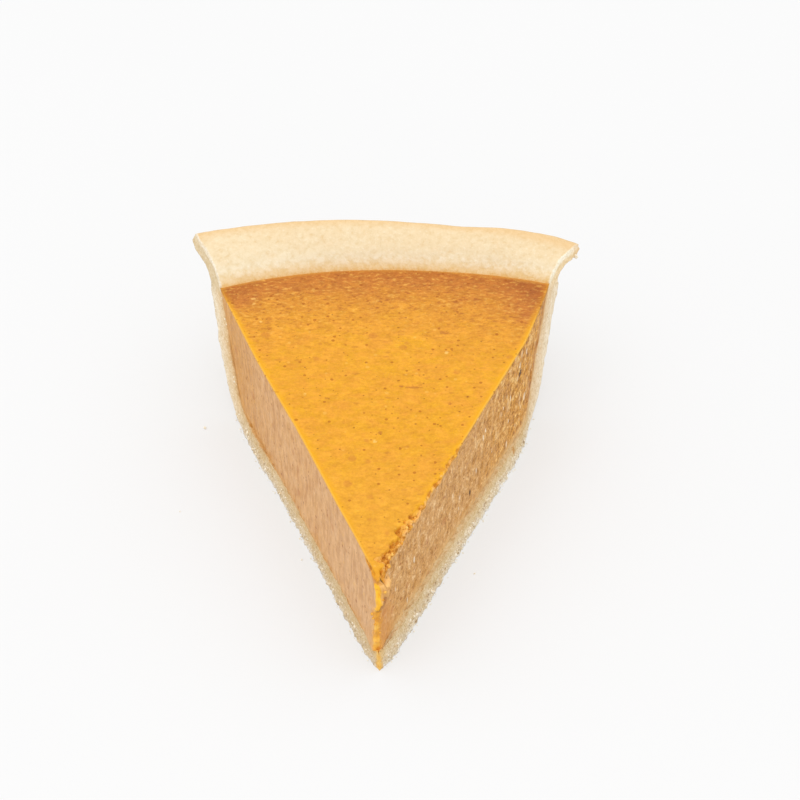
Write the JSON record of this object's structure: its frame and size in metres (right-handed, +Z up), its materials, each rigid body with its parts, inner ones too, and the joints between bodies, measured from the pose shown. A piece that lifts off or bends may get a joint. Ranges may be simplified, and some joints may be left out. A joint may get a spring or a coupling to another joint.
{
  "type": "slice of pumpkin pie",
  "caption": "Wedge slice of pumpkin pie: smooth dished orange filling on a pale pastry base, with a leaning wall and flared plain rim.",
  "frame": {"origin": "centre of the bounding box at the level the slice rests on", "axes": "+Z up, +Y from the tip towards the rim, +X across the slice to the right seen from the tip"},
  "size_m": [0.0934, 0.1126, 0.0386],
  "materials": {
    "pastry": "dry matte baked shortcrust, pale cream with golden edges and crumbly cut faces",
    "pumpkin_filling": "soft satin baked custard, orange skin on top and tan cut sides with fine spice specks"
  },
  "bodies": {
    "root": {"crust": "pastry", "filling": "pumpkin_filling"}
  },
  "joints": []
}
